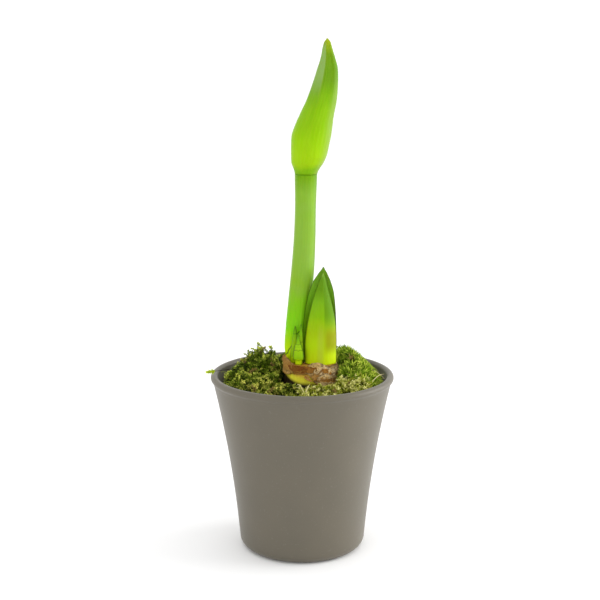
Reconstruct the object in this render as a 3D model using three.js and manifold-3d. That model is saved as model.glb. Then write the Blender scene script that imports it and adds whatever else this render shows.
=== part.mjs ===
// A potted amaryllis in bud: a flared ceramic pot filled with compost, a planted bulb with its roots and
// dry skins, a flower stem with a closed bud, a young leaf pair, three leaf tips and a cover of moss.
// Millimetres, +Z up. The origin is the centre of the pot's foot, on the surface that it stands on.
// -Y is the front, and the flower stem leans towards +X.

import * as THREE from "three";
import { mergeVertices } from "three/addons/utils/BufferGeometryUtils.js";
import Module from "manifold-3d";

const wasm = await Module();
wasm.setup();

// ---- Driving dimensions ----

const GAP = 0.4; // between pieces that touch

const POT_HEIGHT = 137;
const POT_BASE_RADIUS = 47.9; // where the side would meet the floor without its rounded foot
const POT_FLARE_LINEAR = 0.0776; // the side's radius grows by this for each millimetre of height,
const POT_FLARE_SQUARE = 0.000583; // and by this for each square millimetre of height
const POT_WALL = 4.4;
const POT_FLOOR = 7;
const RIM_RADIUS = 70;
const RIM_BEAD_RADIUS = 2.7;
const FOOT_ROUND = 8;
const FOOT_RING_INNER = 33;
const FOOT_RECESS = 1.5;
const INNER_ROUND = 6; // between the pot's inner side and its floor

const SOIL_TOP = 124;

const BULB_X = 6.2; // the bulb stands a little right of the pot's axis
const NECK_RADIUS_X = 20;
const NECK_RADIUS_Y = 17.4;
const NECK_TOP = 146;
const BULB_RADIUS = 37;
const BULB_BOTTOM = 62;
const BASE_PLATE_RADIUS = 15;
const BASE_PLATE_THICKNESS = 4.6;

const SHOOT_FOOT = NECK_TOP + GAP; // stem and leaves stand on the bulb's neck
const BUD_FOOT = 289;
const BUD_TIP = 387.5;
const LEAF_BACK_TIP = 219.2;
const LEAF_FRONT_TIP = 215.2;

const TIP_TALL_HEIGHT = 30;
const TIP_MIDDLE_HEIGHT = 28;
const TIP_STUB_HEIGHT = 24;

const MOSS_FOOT = SOIL_TOP + GAP;
const MOSS_LEVEL = 133; // the moss cover's height between its mounds
const MOSS_MOUND_LEFT = 13; // how far the moss rises above that beside the neck
const MOSS_MOUND_RIGHT = 14;
const MOSS_DIP_FRONT = 3.5; // and how far it sinks before the neck,
const MOSS_DIP_LEFT = 4.5; // at the neck's front left,
const MOSS_DIP_BACK = 3; // and behind it

const ROOTS = 7;
const ROOT_RADIUS = 2.1;
const ROOT_END_RADIUS = 0.9;
const ROOT_REACH = 30; // how far the shortest root spreads from the plate's axis
const ROOT_DEPTH = 24; // how far below the bulb the shallowest root turns down

const POT_SIDES = 48; // flats round the pot and its soil

// ---- Solids ----

const radians = THREE.MathUtils.degToRad;

// A closed geometry through rings of points with equal counts, listed from bottom to top, each
// anticlockwise seen from its upper side. The first and last ring are closed by a ladder of triangles
// between point k and its opposite on the other side, which also fits a crescent.
function loft(rings) {
  const count = rings[0].length;
  const positions = rings.flat().flatMap((p) => [p.x, p.y, p.z]);
  const faces = [];
  for (let ring = 0; ring + 1 < rings.length; ring++) {
    for (let k = 0; k < count; k++) {
      const next = (k + 1) % count;
      const [a, b] = [ring * count + k, ring * count + next];
      const [c, d] = [a + count, b + count];
      faces.push(a, b, d, a, d, c);
    }
  }
  const cap = (start, up) => {
    for (let k = 0; k < count / 2; k++) {
      const [a, b] = [start + k, start + k + 1];
      const [d, c] = [start + ((count - k) % count), start + count - k - 1];
      const quad = [[a, b, c], [a, c, d]];
      for (const t of quad) {
        if (new Set(t).size === 3) faces.push(...(up ? t : t.reverse()));
      }
    }
  };
  cap(0, false);
  cap((rings.length - 1) * count, true);
  const geometry = new THREE.BufferGeometry();
  geometry.setAttribute("position", new THREE.Float32BufferAttribute(positions, 3));
  geometry.setIndex(faces);
  return geometry;
}

// A closed lathe about Z from [radius, height] pairs that start and end on the axis.
function turned(outline, sides) {
  const points = outline.map(([radius, height]) => new THREE.Vector2(radius, height));
  return new THREE.LatheGeometry(points, sides).rotateX(Math.PI / 2);
}

function solidOf(geometry) {
  const bare = geometry.clone();
  bare.deleteAttribute("normal");
  bare.deleteAttribute("uv");
  const merged = mergeVertices(bare, 1e-4);
  const made = new wasm.Mesh({
    numProp: 3,
    vertProperties: new Float32Array(merged.attributes.position.array),
    triVerts: new Uint32Array(merged.index.array),
  });
  return new wasm.Manifold(made);
}

function geometryOf(solid) {
  const mesh = solid.getMesh();
  const geometry = new THREE.BufferGeometry();
  geometry.setAttribute("position", new THREE.BufferAttribute(mesh.vertProperties, 3));
  geometry.setIndex(new THREE.BufferAttribute(mesh.triVerts, 1));
  return geometry;
}

// Smooth values along a shoot: stations are [height, ...values], and the result gives the values at any
// height on one smooth curve through them.
function along(stations) {
  const curves = stations[0].slice(1).map((_, column) => {
    const points = stations.map((s) => new THREE.Vector2(s[0], s[column + 1]));
    return new THREE.SplineCurve(points);
  });
  const last = stations.length - 1;
  return (height) => {
    let span = 0;
    while (span < last - 1 && height > stations[span + 1][0]) span++;
    const [low, high] = [stations[span][0], stations[span + 1][0]];
    const share = THREE.MathUtils.clamp((height - low) / (high - low), 0, 1);
    return curves.map((curve) => curve.getPoint((span + share) / last).y);
  };
}

// An upright shoot of oval section. at(height) gives [centre x, centre y, half width, half depth].
function ovalShoot(at, heights, sides) {
  return loft(
    heights.map((z) => {
      const [x, y, halfWidth, halfDepth] = at(z);
      return Array.from({ length: sides }, (_, k) => {
        const turn = (2 * Math.PI * k) / sides;
        return new THREE.Vector3(
          x + halfWidth * Math.cos(turn),
          y + halfDepth * Math.sin(turn),
          z,
        );
      });
    }),
  );
}

// An upright blade of crescent section. at(height) gives [centre x, half width] and edgeY(height) where
// its two edges lie. bulge is how far the middle of its outer face stands off them, negative to the
// front, and thickness is the blade's thickness there.
function blade(at, edgeY, bulge, thickness, heights) {
  const ACROSS_STEPS = 8;
  const EDGE = 0.5;
  const widest = at(heights[0])[1];
  const outside = bulge;
  const inside = bulge - Math.sign(bulge) * thickness;
  const [front, back] = bulge < 0 ? [outside, inside] : [inside, outside];
  return loft(
    heights.map((z) => {
      const [x, halfWidth] = at(z);
      const grown = Math.min(1, halfWidth / widest) ** 0.7;
      const face = (middle, edge) =>
        steps(-1, 1, ACROSS_STEPS).map((across) => {
          const y = edgeY(z) + edge + middle * grown * (1 - across ** 2);
          return new THREE.Vector3(x + across * halfWidth, y, z);
        });
      return [...face(front, -EDGE), ...face(back, EDGE).reverse()];
    }),
  );
}

// A round tapering solid along a curve: radiusAt(share) gives its radius.
function taperedTube(curve, radiusAt, stretches, sides) {
  const frames = curve.computeFrenetFrames(stretches);
  return loft(
    steps(0, 1, stretches).map((share, i) => {
      const centre = curve.getPointAt(share);
      const radius = radiusAt(share);
      return Array.from({ length: sides }, (_, k) => {
        const turn = (2 * Math.PI * k) / sides;
        return centre
          .clone()
          .addScaledVector(frames.normals[i], radius * Math.cos(turn))
          .addScaledVector(frames.binormals[i], radius * Math.sin(turn));
      });
    }),
  );
}

function steps(from, to, count) {
  return Array.from({ length: count + 1 }, (_, i) => from + ((to - from) * i) / count);
}

// ---- Materials ----

const finish = (color, roughness) =>
  new THREE.MeshStandardMaterial({ color, roughness, metalness: 0 });
const GLAZE = finish("#7a7568", 0.65);
const COMPOST = finish("#2a1d14", 0.95);
const BULB_FLESH = finish("#c5b43a", 0.5);
const ROOT_WHITE = finish("#d9cfae", 0.7);
const DRY_SKIN = finish("#8a5a33", 0.75);
const STEM_GREEN = finish("#8cbf3f", 0.45);
const BUD_GREEN = finish("#86b81a", 0.45);
const LEAF_GREEN = finish("#6fa62a", 0.45);
const MOSS_GREEN = finish("#6f7f26", 0.9);

const plant = new THREE.Group();
function add(name, geometry, material) {
  const mesh = new THREE.Mesh(geometry, material);
  mesh.name = name;
  plant.add(mesh);
}

// ---- Ceramic pot: one cast shell with a bead round its rim and a ring-shaped foot ----

const potOuter = (z) => POT_BASE_RADIUS + POT_FLARE_LINEAR * z + POT_FLARE_SQUARE * z * z;
const potInner = (z) => potOuter(z) - POT_WALL;

function potShell() {
  const recessSlope = 1;
  const outline = [
    [0, FOOT_RECESS],
    [FOOT_RING_INNER, FOOT_RECESS],
    [FOOT_RING_INNER + recessSlope, 0],
  ];
  const footCentre = potOuter(FOOT_ROUND) - FOOT_ROUND;
  for (const turn of steps(-90, 0, 3)) {
    outline.push([
      footCentre + FOOT_ROUND * Math.cos(radians(turn)),
      FOOT_ROUND + FOOT_ROUND * Math.sin(radians(turn)),
    ]);
  }
  const beadRadius = RIM_RADIUS - RIM_BEAD_RADIUS;
  const beadHeight = POT_HEIGHT - RIM_BEAD_RADIUS;
  const beadStart = -60; // the bead's turn in degrees where it leaves the side
  const sideTop = beadHeight - RIM_BEAD_RADIUS - 0.3;
  for (const z of steps(FOOT_ROUND, sideTop, 6).slice(1)) outline.push([potOuter(z), z]);
  for (const turn of steps(beadStart, 180, 7)) {
    outline.push([
      beadRadius + RIM_BEAD_RADIUS * Math.cos(radians(turn)),
      beadHeight + RIM_BEAD_RADIUS * Math.sin(radians(turn)),
    ]);
  }
  const innerFoot = POT_FLOOR + INNER_ROUND;
  for (const z of steps(sideTop, innerFoot, 4)) outline.push([potInner(z), z]);
  for (const turn of steps(-30, -90, 2)) {
    outline.push([
      potInner(innerFoot) - INNER_ROUND + INNER_ROUND * Math.cos(radians(turn)),
      innerFoot + INNER_ROUND * Math.sin(radians(turn)),
    ]);
  }
  outline.push([0, POT_FLOOR]);
  return turned(outline, POT_SIDES);
}
add("ceramic_pot", potShell(), GLAZE);

// ---- Bulb: round belly, shoulders that draw in to an oval neck ----

const bulbAt = along([
  // height, half width, half depth
  [BULB_BOTTOM, BASE_PLATE_RADIUS + 2, BASE_PLATE_RADIUS + 2],
  [BULB_BOTTOM + 10, BULB_RADIUS - 8, BULB_RADIUS - 9],
  [BULB_BOTTOM + 28, BULB_RADIUS, BULB_RADIUS - 1],
  [SOIL_TOP - 16, BULB_RADIUS - 5, BULB_RADIUS - 7],
  [SOIL_TOP, NECK_RADIUS_X + 2.4, NECK_RADIUS_Y + 2.4],
  [NECK_TOP - 8, NECK_RADIUS_X, NECK_RADIUS_Y],
  [NECK_TOP, NECK_RADIUS_X - 0.6, NECK_RADIUS_Y - 0.6],
]);
const BULB_SIDES = 24;

function bulbGeometry(growth) {
  const heights = [...steps(BULB_BOTTOM, SOIL_TOP, 8), ...steps(SOIL_TOP, NECK_TOP, 3).slice(1)];
  const mouth = growth > 0 ? [NECK_TOP + 1] : []; // a cutter reaches past the neck's top
  const at = (z) => {
    const [halfWidth, halfDepth] = bulbAt(Math.min(z, NECK_TOP));
    return [BULB_X, 0, halfWidth + growth, halfDepth + growth];
  };
  return ovalShoot(at, [...heights, ...mouth], BULB_SIDES);
}
add("bulb", bulbGeometry(0), BULB_FLESH);

// ---- Roots: thick fleshy roots that spread from the plate under the bulb ----

function rootCurve(index) {
  const turn = (2 * Math.PI * (index + 0.3 * (index % 2))) / ROOTS;
  const reach = ROOT_REACH + 4 * (index % 3); // three lengths in turn
  const turnDown = BULB_BOTTOM - ROOT_DEPTH - 8 * ((index + 1) % 3); // and three depths
  const spoke = (radius, twist, z) =>
    new THREE.Vector3(
      BULB_X * (1 - radius / reach) + radius * Math.cos(turn + twist),
      radius * Math.sin(turn + twist),
      z,
    );
  return new THREE.CatmullRomCurve3([
    spoke(8, 0, BULB_BOTTOM - 2.5),
    spoke(0.45 * reach, 0.1, BULB_BOTTOM - 10),
    spoke(0.8 * reach, 0.25, (BULB_BOTTOM + turnDown) / 2),
    spoke(reach, 0.3, turnDown),
    spoke(0.95 * reach, 0.45, turnDown - 14),
  ]);
}

function rootSystem(growth) {
  const plateTop = BULB_BOTTOM - GAP;
  const plateFoot = plateTop - BASE_PLATE_THICKNESS;
  const plate = turned(
    [
      [0, plateFoot - growth],
      [BASE_PLATE_RADIUS - 3 + growth, plateFoot - growth],
      [BASE_PLATE_RADIUS + growth, plateTop - 2],
      [BASE_PLATE_RADIUS + growth, plateTop + 2 * growth],
      [0, plateTop + 2 * growth],
    ],
    24,
  ).translate(BULB_X, 0, 0);
  let system = solidOf(plate);
  for (let index = 0; index < ROOTS; index++) {
    const radiusAt = (share) => THREE.MathUtils.lerp(ROOT_RADIUS, ROOT_END_RADIUS, share) + growth;
    system = system.add(solidOf(taperedTube(rootCurve(index), radiusAt, 6, 6)));
  }
  return system;
}
add("roots", geometryOf(rootSystem(0)), ROOT_WHITE);

// ---- Potting soil: fills the pot up to the moss, round the bulb and its roots ----

function pottingSoil() {
  const foot = POT_FLOOR + GAP;
  const round = foot + INNER_ROUND;
  const outline = [[0, foot], [potInner(round) - INNER_ROUND, foot]];
  for (const z of steps(round, SOIL_TOP, 4)) outline.push([potInner(z) - GAP, z]);
  outline.push([0, SOIL_TOP]);
  const body = solidOf(turned(outline, POT_SIDES));
  return body.subtract(solidOf(bulbGeometry(GAP))).subtract(rootSystem(GAP));
}
add("potting_soil", geometryOf(pottingSoil()), COMPOST);

// ---- Dry skins: papery brown bulb scales wrapped round the neck, open at the front left below ----

// A wrapped sheet between two turns in degrees (180 is left, 270 front), from foot(turn) to top(turn).
function neckSkin(fromTurn, toTurn, foot, top) {
  const THICKNESS = 0.9;
  const rows = 3;
  const columns = Math.round(Math.abs(toTurn - fromTurn) / 9);
  const point = (turn, height, out) => {
    const [halfWidth, halfDepth] = bulbAt(Math.min(height, NECK_TOP));
    return new THREE.Vector3(
      BULB_X + (halfWidth + out) * Math.cos(radians(turn)),
      (halfDepth + out) * Math.sin(radians(turn)),
      height,
    );
  };
  const rings = steps(fromTurn, toTurn, columns).map((turn) => {
    const heights = steps(foot(turn), top(turn), rows);
    const inner = heights.map((z) => point(turn, z, GAP));
    const outer = heights.map((z) => point(turn, z, GAP + THICKNESS)).reverse();
    return [...inner, ...outer];
  });
  return loft(rings);
}
const wave = (turn, beats, phase) => Math.sin(radians(turn * beats + phase));
const leftCollar = (turn) => 7.5 * THREE.MathUtils.smoothstep(turn, 172, 196);
add(
  "dry_skin_left",
  neckSkin(152, 256, (t) => 138 + wave(t, 4, 0), (t) => NECK_TOP - 1 + leftCollar(t)),
  DRY_SKIN,
);
const rightCollar = (turn) => 3 * (1 - THREE.MathUtils.smoothstep(turn, 282, 305));
add(
  "dry_skin_right",
  neckSkin(
    260,
    388,
    (t) => 130 + wave(t, 3, 60),
    (t) => NECK_TOP - 1.2 + rightCollar(t) + 0.8 * wave(t, 6, 0),
  ),
  DRY_SKIN,
);
add(
  "dry_skin_back",
  neckSkin(32, 148, (t) => 131 + wave(t, 4, 90), (t) => NECK_TOP - 1.2 + wave(t, 5, 10)),
  DRY_SKIN,
);

// ---- Flower stem: one fleshy stalk, oval in section, that leans right as it rises ----

const STEM_TOP = BUD_FOOT - GAP;
const stemAt = along([
  // height, centre x, centre y, half width, half depth
  [SHOOT_FOOT, -4.8, 5.2, 7.6, 7.0],
  [155, -4.9, 5.3, 8.7, 7.4],
  [167, -4.0, 5.3, 9.0, 7.8],
  [192, -1.8, 5.2, 8.9, 7.7],
  [217, 0.5, 5.0, 8.7, 7.5],
  [241, 1.9, 5.0, 8.2, 7.2],
  [265, 2.5, 5.0, 7.9, 7.0],
  [STEM_TOP, 2.8, 5.0, 8.3, 7.3],
]);
add("flower_stem", ovalShoot(stemAt, steps(SHOOT_FOOT, STEM_TOP, 12), 20), STEM_GREEN);

// ---- Flower bud: the closed sheath, full at its foot and bent over to a beak ----

const budAt = along([
  // height, centre x, centre y, half width, half depth
  [BUD_FOOT, 2.8, 5.0, 8.4, 7.8],
  [292.5, 3.2, 5.0, 9.8, 9.2],
  [296.5, 3.8, 5.0, 11.9, 11.3],
  [302, 4.9, 5.0, 13.3, 13.0],
  [310, 5.8, 5.0, 14.2, 14.2],
  [317.5, 6.8, 5.0, 14.7, 14.4],
  [325, 8.6, 5.0, 13.9, 13.8],
  [331, 10.4, 5.0, 12.9, 13.0],
  [342.5, 14.1, 5.0, 11.3, 11.6],
  [354, 16.7, 5.0, 9.6, 9.8],
  [366, 18.5, 5.0, 7.6, 7.5],
  [374.5, 18.7, 5.0, 5.2, 5.2],
  [380.5, 18.3, 5.0, 3.7, 3.8],
  [385, 18.3, 5.0, 2.4, 2.4],
  [BUD_TIP, 18.3, 5.0, 0.6, 0.6],
]);
add("flower_bud", ovalShoot(budAt, steps(BUD_FOOT, BUD_TIP, 20), 20), BUD_GREEN);

// ---- Young leaf pair: two pointed blades, the front one nested in the back one ----

const backLeafAt = along([
  // height, centre x, half width
  [SHOOT_FOOT, 13.0, 12.9],
  [162, 13.0, 13.1],
  [177, 13.3, 12.4],
  [190, 13.8, 11.2],
  [201, 14.5, 9.2],
  [209, 14.9, 6.4],
  [215, 15.5, 3.1],
  [LEAF_BACK_TIP, 15.9, 0.7],
]);
const frontLeafAt = along([
  [SHOOT_FOOT, 13.9, 11.9],
  [162, 13.9, 11.9],
  [177, 14.5, 10.6],
  [186, 14.7, 8.9],
  [195, 14.8, 6.7],
  [204, 15.0, 4.2],
  [210, 15.4, 2.3],
  [LEAF_FRONT_TIP, 15.7, 0.6],
]);
const BACK_LEAF = { edgeY: -4.6, bulge: 6.5, thickness: 2.6 };
const FRONT_LEAF = { edgeY: -6.6, bulge: -7.5, thickness: 6.0 };
const LEAF_LEAN = 2; // how far their tips lean back
const leafPair = [
  ["leaf_back", backLeafAt, LEAF_BACK_TIP, BACK_LEAF],
  ["leaf_front", frontLeafAt, LEAF_FRONT_TIP, FRONT_LEAF],
];
for (const [name, at, tip, { edgeY, bulge, thickness }] of leafPair) {
  const leaning = (z) =>
    THREE.MathUtils.mapLinear(z, SHOOT_FOOT, LEAF_BACK_TIP, edgeY, edgeY + LEAF_LEAN);
  add(name, blade(at, leaning, bulge, thickness, steps(SHOOT_FOOT, tip, 14)), LEAF_GREEN);
}

// ---- Leaf tips: three small shoots between the stem and the leaf pair ----

function leafTip(name, height, { x, y, halfWidth, halfDepth, leanX }) {
  const at = (z) => {
    const share = (z - SHOOT_FOOT) / height;
    const slim = Math.sqrt(Math.max(1 - share ** 1.7, 0.02));
    return [x + leanX * share, y, halfWidth * slim, halfDepth * slim];
  };
  add(name, ovalShoot(at, steps(SHOOT_FOOT, SHOOT_FOOT + height, 6), 10), LEAF_GREEN);
}
const TIP_TALL = { x: -1, y: -7.4, halfWidth: 1.7, halfDepth: 1.5, leanX: 0.6 };
const TIP_MIDDLE = { x: -6.8, y: -5.4, halfWidth: 2.6, halfDepth: 1.7, leanX: 2.0 };
const TIP_STUB = { x: -2.8, y: -11.6, halfWidth: 4.2, halfDepth: 2.1, leanX: -0.4 };
leafTip("leaf_tip_tall", TIP_TALL_HEIGHT, TIP_TALL);
leafTip("leaf_tip_middle", TIP_MIDDLE_HEIGHT, TIP_MIDDLE);
leafTip("leaf_tip_stub", TIP_STUB_HEIGHT, TIP_STUB);

// ---- Moss: five cushions laid round the neck, and one stray sprig over the rim ----

const NECK_CLEAR = 1.6; // between the neck's skins and the moss
const WALL_CLEAR = 1.2; // between the pot's wall and the moss in front

const mound = (x, y, centreX, centreY, spread) =>
  Math.exp(-((x - centreX) ** 2 + (y - centreY) ** 2) / spread ** 2);

// The moss cover's height above the floor at a place.
function mossTop(x, y) {
  const left = MOSS_MOUND_LEFT * mound(x, y, -31, 14, 17);
  const right = MOSS_MOUND_RIGHT * mound(x, y, 35, 12, 20);
  const hollow = MOSS_DIP_LEFT * mound(x, y, -22, -12, 14);
  const front = MOSS_DIP_FRONT * mound(x, y, BULB_X, -28, 16);
  const back = MOSS_DIP_BACK * THREE.MathUtils.smoothstep(y, 26, 44);
  return MOSS_LEVEL + left + right - hollow - front - back;
}

function mossCushion(fromTurn, toTurn, wallClear) {
  const rows = 6;
  const [halfWidth, halfDepth] = bulbAt(SOIL_TOP);
  const columns = Math.round((toTurn - fromTurn) / 8);
  const rings = steps(fromTurn, toTurn, columns).map((turn) => {
    const [cos, sin] = [Math.cos(radians(turn)), Math.sin(radians(turn))];
    const inner = [BULB_X + (halfWidth + NECK_CLEAR) * cos, (halfDepth + NECK_CLEAR) * sin];
    const outer = [cos, sin].map((c) => c * (potInner(MOSS_FOOT) - wallClear));
    const across = steps(0, 1, rows).map((share) => [
      THREE.MathUtils.lerp(inner[0], outer[0], share),
      THREE.MathUtils.lerp(inner[1], outer[1], share),
      Math.sin(Math.PI * (0.1 + 0.8 * share)) ** 0.5,
    ]);
    const floor = across.map(([x, y]) => new THREE.Vector3(x, y, MOSS_FOOT));
    const roof = across.map(([x, y, swell]) => {
      const full = mossTop(x, y) - MOSS_FOOT;
      return new THREE.Vector3(x, y, MOSS_FOOT + full * swell);
    });
    return [...floor.reverse(), ...roof];
  });
  return loft(rings);
}
const CUSHIONS = [
  // name, from turn, to turn, how far it stays from the pot's wall
  ["moss_right", -24, 54, 8.5],
  ["moss_back", 57, 119, 6],
  ["moss_left", 122, 206, 6.5],
  ["moss_front_left", 209, 259, WALL_CLEAR],
  ["moss_front_right", 268, 333, WALL_CLEAR],
];
for (const [name, from, to, clear] of CUSHIONS) {
  add(name, mossCushion(from, to, clear), MOSS_GREEN);
}

const sprigPath = new THREE.CatmullRomCurve3([
  new THREE.Vector3(-54, -8, 139.4),
  new THREE.Vector3(-60, -9, 141.2),
  new THREE.Vector3(-66, -9.8, 141.3),
  new THREE.Vector3(-70.5, -10.5, 140.2),
  new THREE.Vector3(-73.2, -11, 138.2),
]);
add(
  "stray_sprig",
  taperedTube(sprigPath, (share) => 0.7 + 0.9 * Math.sin(Math.PI * share ** 2), 8, 8),
  MOSS_GREEN,
);

export default plant;
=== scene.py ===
import math

import bpy
import numpy as np
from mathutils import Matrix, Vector


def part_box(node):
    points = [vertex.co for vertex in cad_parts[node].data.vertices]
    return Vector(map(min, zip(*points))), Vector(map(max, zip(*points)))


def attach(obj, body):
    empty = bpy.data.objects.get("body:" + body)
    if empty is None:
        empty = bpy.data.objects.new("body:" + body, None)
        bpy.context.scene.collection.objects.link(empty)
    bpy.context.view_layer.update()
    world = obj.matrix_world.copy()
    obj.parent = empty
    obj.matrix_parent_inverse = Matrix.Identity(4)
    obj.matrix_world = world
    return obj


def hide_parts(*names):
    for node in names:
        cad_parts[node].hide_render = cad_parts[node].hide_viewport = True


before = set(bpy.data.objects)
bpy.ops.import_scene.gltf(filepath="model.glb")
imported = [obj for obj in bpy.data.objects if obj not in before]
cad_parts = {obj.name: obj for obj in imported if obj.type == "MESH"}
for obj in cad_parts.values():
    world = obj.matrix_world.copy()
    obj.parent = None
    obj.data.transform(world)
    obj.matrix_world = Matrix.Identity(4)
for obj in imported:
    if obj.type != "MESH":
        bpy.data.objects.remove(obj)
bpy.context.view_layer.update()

MM = 0.001  # shapes below are in millimetres, and the frame is in metres

# ---- Stage ----
# A wide pale floor in a white surround that is dimmer towards the front left, with a soft lamp on each
# side, as for a product shot. The camera stands a little above the pot and looks down on the moss.
scene = bpy.context.scene
scene.view_settings.view_transform = "Standard"


def link(name, data):
    holder = bpy.data.objects.new(name, data)
    scene.collection.objects.link(holder)
    return holder


def soft_lamp(name, place, size, power):
    light = bpy.data.lights.new(name, "AREA")
    light.size = size
    light.energy = power
    holder = link(name, light)
    holder.location = place
    towards = Vector((0, 0, 0.2)) - holder.location
    holder.rotation_euler = towards.to_track_quat("-Z", "Y").to_euler()


soft_lamp("lamp_left", (-0.9, -1.0, 0.9), 0.8, 2)
soft_lamp("lamp_right", (1.6, 0.15, 0.45), 1.2, 22)

surround = bpy.data.worlds.new("surround")
surround.use_nodes = True
sky = surround.node_tree
direction = sky.nodes.new("ShaderNodeTexCoord")
towards_back = sky.nodes.new("ShaderNodeVectorMath")
towards_back.operation = "DOT_PRODUCT"
towards_back.inputs[1].default_value = (0.5, 0.87, 0)
brightness = sky.nodes.new("ShaderNodeMapRange")
for socket, value in {"From Min": -1.0, "From Max": 0.6, "To Min": 1.0, "To Max": 1.24}.items():
    brightness.inputs[socket].default_value = value
sky.links.new(direction.outputs["Generated"], towards_back.inputs[0])
sky.links.new(towards_back.outputs["Value"], brightness.inputs[0])
sky.links.new(brightness.outputs[0], sky.nodes["Background"].inputs["Strength"])
sky.nodes["Background"].inputs["Color"].default_value = (1, 1, 1, 1)
scene.world = surround

FLOOR_SIDE = 60.0
floor_mesh = bpy.data.meshes.new("floor")
half = FLOOR_SIDE / 2
floor_corners = [(-half, -half, 0), (half, -half, 0), (half, half, 0), (-half, half, 0)]
floor_mesh.from_pydata(floor_corners, [], [(0, 1, 2, 3)])
floor = link("floor", floor_mesh)
floor_paint = bpy.data.materials.new("floor_paint")
floor_paint.use_nodes = True
floor_shader = floor_paint.node_tree.nodes["Principled BSDF"]
floor_shader.inputs["Base Color"].default_value = (0.97, 0.97, 0.97, 1)
floor_shader.inputs["Roughness"].default_value = 1.0
floor_shader.inputs["Specular IOR Level"].default_value = 0.0
floor_mesh.materials.append(floor_paint)

CAMERA_PLACE = (-0.0017, -0.9213, 0.380)
CAMERA_DOWN = 11.44  # degrees below level
lens = bpy.data.cameras.new("camera")
lens.lens = 74.5
camera = link("camera", lens)
camera.location = CAMERA_PLACE
camera.rotation_euler = (math.radians(90 - CAMERA_DOWN), 0, 0)
scene.camera = camera


# ---- Ceramic pot ----
# One slip-cast pot whose side flares out to a beaded rim, in a matte taupe glaze with a fine grain. It
# stands on a flat ring round a shallow recess.
class Wire:
    """One output of a shader node. Sums on it add Math nodes."""

    def __init__(self, finish, socket):
        self.finish = finish
        self.socket = socket

    def maths(self, operation, first, second):
        return self.finish.node("ShaderNodeMath", {"operation": operation}, {0: first, 1: second})

    def __add__(self, other):
        return self.maths("ADD", self, other)

    def __sub__(self, other):
        return self.maths("SUBTRACT", self, other)

    def __rsub__(self, other):
        return self.maths("SUBTRACT", other, self)

    def __mul__(self, other):
        return self.maths("MULTIPLY", self, other)

    __radd__ = __add__
    __rmul__ = __mul__


class Finish:
    """A material round one shader. node() adds any other node and gives back its output."""

    def __init__(self, name, fixed):
        self.material = bpy.data.materials.new(name)
        self.material.use_nodes = True
        self.tree = self.material.node_tree
        self.shader = self.tree.nodes["Principled BSDF"]
        for socket, value in fixed.items():
            self.shader.inputs[socket].default_value = value
        self.place = self.node("ShaderNodeTexCoord", output="Object")

    def node(self, kind, settings=None, inputs=None, output=0):
        made = self.tree.nodes.new(kind)
        for setting, value in (settings or {}).items():
            if setting == "stops":
                self.set_stops(made.color_ramp, value)
            else:
                setattr(made, setting, value)
        for socket, value in (inputs or {}).items():
            self.feed(made.inputs[socket], value)
        return Wire(self, made.outputs[output])

    def feed(self, socket, value):
        if isinstance(value, Wire):
            self.tree.links.new(value.socket, socket)
        else:
            socket.default_value = value

    def set_stops(self, ramp, stops):
        while len(ramp.elements) < len(stops):
            ramp.elements.new(1)
        for element, (position, colour) in zip(ramp.elements, stops):
            element.position = position
            element.color = paint(colour)

    def mark(self, name):
        return self.node("ShaderNodeAttribute", {"attribute_name": name}, output="Fac")

    def ramp(self, share, stops):
        return self.node("ShaderNodeValToRGB", {"stops": stops}, {0: share})

    def noise(self, vector, scale, detail=3.0):
        inputs = {"Vector": vector, "Scale": scale, "Detail": detail}
        return self.node("ShaderNodeTexNoise", {}, inputs)

    def stretched(self, vector, factors):
        return self.node("ShaderNodeVectorMath", {"operation": "MULTIPLY"}, {0: vector, 1: factors})

    def grid(self, across, along):
        return self.node("ShaderNodeCombineXYZ", {}, {0: across, 1: along})

    def mask(self, value, low, high):
        settings = {"interpolation_type": "SMOOTHSTEP"}
        return self.node("ShaderNodeMapRange", settings, {0: value, 1: low, 2: high})

    def blend(self, share, first, second):
        first, second = (paint(c) if isinstance(c, str) else c for c in (first, second))
        return self.node("ShaderNodeMix", {"data_type": "RGBA"}, {0: share, 6: first, 7: second}, output=2)

    def shaded(self, share, colour, least):
        """The colour, darkened towards least of itself where share is 0."""
        grey = self.node("ShaderNodeCombineColor", {}, {i: share * (1 - least) + least for i in range(3)})
        settings = {"data_type": "RGBA", "blend_type": "MULTIPLY"}
        return self.node("ShaderNodeMix", settings, {0: 1.0, 6: colour, 7: grey}, output=2)

    def dress(self, colour, roughness=None, relief=None, depth=0.1):
        self.feed(self.shader.inputs["Base Color"], colour)
        if roughness is not None:
            self.feed(self.shader.inputs["Roughness"], roughness)
        if relief is not None:
            inputs = {"Height": relief, "Distance": depth * MM, "Strength": 1.0}
            self.feed(self.shader.inputs["Normal"], self.node("ShaderNodeBump", {}, inputs))
        return self.material


def paint(code):
    """A colour code such as #7a7568 as linear red, green, blue and alpha."""
    values = [int(code[i:i + 2], 16) / 255 for i in (1, 3, 5)]
    return tuple(v / 12.92 if v <= 0.04045 else ((v + 0.055) / 1.055) ** 2.4 for v in values) + (1.0,)


def loft(rings):
    """Points and faces of a closed skin through rings of equal counts, with a fan over each end."""
    rings = np.asarray(rings, dtype=float)
    count, around = rings.shape[:2]
    ring = np.arange(count - 1)[:, None] * around
    step = np.arange(around)
    after = np.roll(step, -1)
    quads = np.stack([ring + step, ring + after, ring + after + around, ring + step + around], axis=2)
    last = (count - 1) * around
    foot_centre = count * around
    foot = np.stack([after, step, np.full(around, foot_centre)], axis=1)
    top = np.stack([last + step, last + after, np.full(around, foot_centre + 1)], axis=1)
    points = np.concatenate([rings.reshape(-1, 3), [rings[0].mean(axis=0)], [rings[-1].mean(axis=0)]])
    return points, [quads.reshape(-1, 4), foot, top]


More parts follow.
